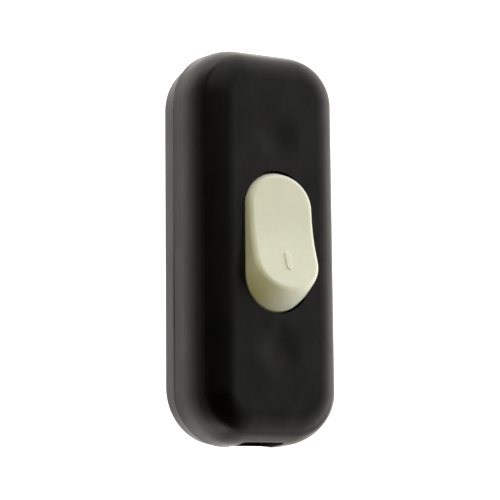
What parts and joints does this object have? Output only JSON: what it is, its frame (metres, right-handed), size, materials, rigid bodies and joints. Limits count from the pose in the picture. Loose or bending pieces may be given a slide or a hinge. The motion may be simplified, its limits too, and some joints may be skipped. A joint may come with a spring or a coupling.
{
  "type": "in-line cord rocker switch",
  "caption": "Small black in-line cord switch: a rounded two-part moulded body with a pale ivory rocker in an oval opening and a cord slot in each end.",
  "frame": {"origin": "centre of the back face, on the surface the switch lies on", "axes": "+X across the body, +Y along the body towards the rocker end that is pressed in when OFF, +Z out of the rocker face"},
  "size_m": [0.0274, 0.0664, 0.0203],
  "materials": {
    "black_plastic": "fine moulded matte",
    "ivory_plastic": "satin moulded",
    "nylon": "natural",
    "clamp_plastic": "moulded",
    "spring_steel": "drawn wire",
    "copper_alloy": "rolled strip",
    "brass": "stamped strip",
    "silver": "contact rivet",
    "zinc_steel": "bright zinc"
  },
  "bodies": {
    "housing": {"top_cover": "black_plastic", "base_plate": "black_plastic", "pivot_terminal": "brass", "contact_terminal": "brass", "fixed_contact": "silver", "neutral_link": "brass", "terminal_screws": "zinc_steel", "terminal_washers": "zinc_steel", "cord_clamp_upper": "clamp_plastic", "cord_clamp_lower": "clamp_plastic", "clamp_screws": "zinc_steel", "cover_screws": "zinc_steel"},
    "rocker": {"rocker": "ivory_plastic", "plunger_spring": "spring_steel"},
    "plunger": {"plunger": "nylon"},
    "contact_blade": {"contact_blade": "copper_alloy", "moving_contact": "silver"}
  },
  "joints": [
    {"name": "rocker_tilt", "type": "hinge", "parent": "housing", "child": "rocker", "pos_m": [0, 0, 0.0118], "axis": [1, 0, 0], "range_deg": [0, 22.6]},
    {"name": "contact_blade_tilt", "type": "hinge", "parent": "housing", "child": "contact_blade", "pos_m": [0, 0, 0.0061], "axis": [1, 0, 0], "range_deg": [-22.6, 0]},
    {"name": "plunger_slide", "type": "slide", "parent": "rocker", "child": "plunger", "axis": [0, 0.1959, 0.9806], "range_m": [0, 0.0012], "stiffness_N_per_m": 300, "springref_m": -0.003, "deforming": ["plunger_spring"]}
  ],
  "couplings": [
    {"joint": "contact_blade_tilt", "follows": "rocker_tilt", "ratio": -1}
  ]
}
